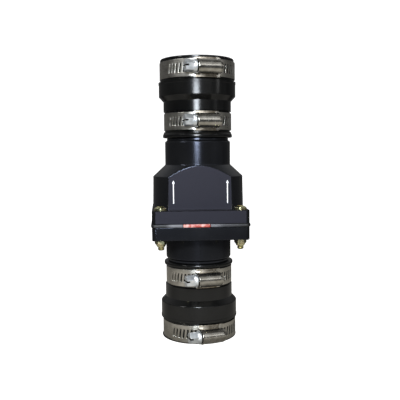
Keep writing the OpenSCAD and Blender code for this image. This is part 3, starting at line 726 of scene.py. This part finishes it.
def make_arrow(name, x, material):
    """Upward flow arrow, printed on the panel."""
    bpy.ops.mesh.primitive_plane_add(size=1)
    arrow = bpy.context.active_object
    arrow.name = name
    shaft, head, head_length, ink, tip_share = 0.7 * MM, 2 * MM, 2.2 * MM, 0.08 * MM, 0.05
    neck = ARROW_HIGH - head_length
    bpy.ops.object.mode_set(mode="EDIT")
    bpy.ops.transform.rotate(value=math.radians(90), orient_axis="X", center_override=(0, 0, 0))
    bpy.ops.transform.resize(value=(shaft, 1, neck - ARROW_LOW), center_override=(0, 0, 0))
    bpy.ops.transform.translate(value=(x, PANEL_FRONT + ink / 2, (neck + ARROW_LOW) / 2))
    select_where(arrow, "verts", lambda vertex: vertex.co.z > neck - ink)
    bpy.ops.mesh.extrude_region_move(TRANSFORM_OT_translate={"value": (0, 0, 0)})
    bpy.ops.transform.resize(value=(head / shaft, 1, 1), center_override=(x, 0, neck))
    bpy.ops.mesh.extrude_region_move(TRANSFORM_OT_translate={"value": (0, 0, head_length)})
    bpy.ops.transform.resize(value=(tip_share, 1, 1), center_override=(x, 0, ARROW_HIGH))
    bpy.ops.mesh.select_all(action="SELECT")
    bpy.ops.mesh.extrude_region_move(TRANSFORM_OT_translate={"value": (0, -ink, 0)})
    bpy.ops.mesh.select_all(action="SELECT")
    bpy.ops.mesh.normals_make_consistent(inside=False)
    bpy.ops.object.mode_set(mode="OBJECT")
    hand_over(arrow, material, "body", "abs_body")


def make_camera():
    """The camera, at its distance from the valve's axis, turned about that axis and aimed."""
    data = bpy.data.cameras.new("camera")
    data.sensor_width = SENSOR_WIDTH
    data.lens = SENSOR_WIDTH * FOCAL_PIXELS / PHOTO_SIDE
    camera = bpy.data.objects.new("camera", data)
    bpy.context.scene.collection.objects.link(camera)
    turn = Matrix.Rotation(CAMERA_AZIMUTH, 4, "Z")
    aim = Matrix.Rotation(CAMERA_AIM, 4, "Z")
    tilt = Matrix.Rotation(math.radians(90) - CAMERA_PITCH, 4, "X")
    roll = Matrix.Rotation(CAMERA_ROLL, 4, "Z")
    place = Matrix.Translation((0, -CAMERA_DISTANCE, CAMERA_HEIGHT))
    camera.matrix_world = turn @ place @ aim @ tilt @ roll
    bpy.context.scene.camera = camera
    bpy.context.scene.view_settings.view_transform = "Standard"


def make_stage_plane(name, side, material):
    """A square at the valve's foot, which is no part of the valve."""
    bpy.ops.object.select_all(action="DESELECT")
    bpy.ops.mesh.primitive_plane_add(size=side, location=(0, 0, cad_bounds[0][2]))
    plane = bpy.context.active_object
    plane.name = name
    plane.data.materials.append(material)
    return plane


def make_floor():
    """White paper for the camera, and under it the pale sheet that the valve's gloss shows, glowing as the lit
    table with a painted shadow under the valve and painted light in front.
    """
    material, tree, shader = finish("matt_white_paper", "#fafafa", 0.0, 0.9,
                                    Emission_Strength=PAPER_WHITE)
    shader.inputs["Emission Color"].default_value = (1, 1, 1, 1)
    floor = make_stage_plane("floor", 6, material)
    floor.visible_glossy = floor.visible_diffuse = False
    material, tree, shader = finish("pale_table_sheet", "#000000", 0.0, 0.9, Emission_Strength=1.0)
    place = add(tree, "ShaderNodeTexCoord").outputs["Object"]
    away = add(tree, "ShaderNodeVectorMath", {"Vector": place}, operation="LENGTH")
    shade = add(tree, "ShaderNodeValToRGB", {"Fac": away.outputs["Value"]})
    # The sheet's glow stands in for the lit table: darker under the valve as its painted shadow, dark far off
    # where the table ends
    painted_shadow_under_valve, open_sheet = (0.16, 0.155, 0.14, 1), (0.36, 0.348, 0.32, 1)
    far_off = (0.02, 0.02, 0.02, 1)
    stops = shade.color_ramp.elements
    stops[0].position, stops[0].color = 0.04, painted_shadow_under_valve
    stops[1].position, stops[1].color = 0.42, far_off
    for distance in (0.09, 0.26):
        stops.new(distance).color = open_sheet
    tree.links.new(shade.outputs["Color"], shader.inputs["Emission Color"])
    # Painted light: the sheet glows brighter in front of the valve than behind it
    depth = add(tree, "ShaderNodeSeparateXYZ", {"Vector": place}).outputs["Y"]
    drive(tree, shader, "Emission Strength", depth, 1.6, 0.75, From_Min=-0.08, From_Max=0.02)
    sheet = make_stage_plane("table_sheet", 1, material)
    sheet.visible_camera = False


def make_light(name, place, target, size, watts):
    """A rectangular lamp of size (width, height) at place, facing target."""
    data = bpy.data.lights.new(name, "AREA")
    data.shape = "RECTANGLE"
    data.size, data.size_y = size
    data.energy = watts
    light = bpy.data.objects.new(name, data)
    light.location = place
    light.rotation_euler = (Vector(target) - Vector(place)).to_track_quat("-Z", "Y").to_euler()
    bpy.context.scene.collection.objects.link(light)
    return light


def make_studio():
    """A dim room, paler high up behind the valve; the camera sees plain white."""
    world = bpy.data.worlds.new("studio")
    bpy.context.scene.world = world
    world.use_nodes = True
    tree = world.node_tree
    direction = add(tree, "ShaderNodeTexCoord").outputs["Generated"]
    across = add(tree, "ShaderNodeSeparateXYZ", {"Vector": direction}).outputs
    behind = add(tree, "ShaderNodeMapRange", {"Value": across["Y"]}, From_Min=-0.2, From_Max=1.0)
    above = add(tree, "ShaderNodeMapRange", {"Value": across["Z"]}, From_Min=0.2, From_Max=0.6,
                To_Min=0.07, To_Max=0.45)
    room = add(tree, "ShaderNodeMath", {0: behind.outputs["Result"], 1: above.outputs["Result"]},
               operation="MULTIPLY_ADD")
    room.inputs[2].default_value = ROOM_LIGHT
    seen = add(tree, "ShaderNodeLightPath").outputs["Is Camera Ray"]
    mix = add(tree, "ShaderNodeMix", {"Factor": seen}, data_type="RGBA")
    tree.links.new(room.outputs["Value"], mix.inputs["A"])
    mix.inputs["B"].default_value = (PAPER_WHITE, PAPER_WHITE, PAPER_WHITE, 1)
    tree.links.new(mix.outputs["Result"], tree.nodes["Background"].inputs["Color"])


def make_lights():
    """A cool window in front with a low pane and a bright fanlight, a pale wall at its right, a broad
    dim ceiling panel with a tube in it, a lamp at the left, and a dim wall with a small pane at the
    right. Places and sizes are in metres."""
    panes = (("low_pane", -0.12, 0.21, 0.31, 6.8), ("window", -0.16, 0.34, 0.65, 2),
             ("fanlight", -0.16, 0.65, 0.93, 20))
    for name, x, low, high, watts in panes:
        pane = make_light(name, (x, -1.3, (low + high) / 2), (0, 0, 0.17), (0.32, high - low), watts)
        pane.data.color = (0.86, 0.92, 1.0)
    make_light("wall", (0.75, -1.4, 0.65), VALVE_MIDDLE, (0.8, 0.38), 1.5)
    make_light("ceiling", (0.15, -0.75, 0.85), VALVE_MIDDLE, (1.6, 0.7), 1.5)
    make_light("tube", (-0.2, -0.72, 0.85), VALVE_MIDDLE, (0.9, 0.05), 0.35)
    make_light("lamp", (-1.0, -0.6, 0.9), VALVE_MIDDLE, (0.25, 0.25), 5)
    make_light("side_wall", (1.6, -0.6, 0.3), VALVE_MIDDLE, (1.5, 1.0), 0.36)
    make_light("side_pane", (1.2, -0.68, 0.46), (0, 0, 0.18), (0.12, 0.2), 0.4)


make_camera()
make_floor()
make_studio()
make_lights()

rubber = moulded_rubber()
give(rubber, "outlet_sleeve")
make_swollen_sleeve("inlet_sleeve", rubber)
abs_plain, abs_grained = moulded_abs(), spark_eroded_abs()
make_body_housing("inlet_housing", abs_plain)
outlet = make_body_housing("outlet_housing", abs_plain)
give_some(outlet, abs_grained,
          lambda face: face.normal.y < -SAME_WAY and face.center.y < PANEL_FRONT + PANEL_NEAR)
make_mould_line("inlet_neck_mould_line", NECK_RADIUS, NECK_LOW, NECK_HIGH, abs_plain)
eased_node("flange_gasket", gasket_rubber(), "gasket_rubber", GASKET_EDGE, 3)
make_flapper_rubber(flapper_rubber())
plate = stainless_plate()
eased_node("flapper_weight", plate, "stainless_plate", PLATE_EDGE)
eased_node("flapper_backing", plate, "stainless_plate", PLATE_EDGE)
eased_node("flapper_rivet", headed_brass(), "brass_rivet", PLATE_EDGE)
yellow = yellow_zinc()
make_bolts(yellow)
eased_node("flange_nuts", yellow, "yellow_zinc_steel", TURNED_EDGE)
strip, torn_and_shaded = stainless_strip(), sheared_and_shaded_stainless()
sheet, folded_and_shaded = pressed_stainless(), folded_and_shaded_stainless()
zinc, grease_and_shade = bright_zinc(), greased_and_shaded_zinc()
for clamp in CLAMPS:
    make_band(clamp, strip, torn_and_shaded)
    make_clamp_housing(clamp, sheet, folded_and_shaded)
    make_clamp_screw(clamp, zinc, grease_and_shade)
ink = printing_ink()
make_arrow("flow_arrow_left", ARROW_LEFT, ink)
make_arrow("flow_arrow_right", ARROW_RIGHT, ink)
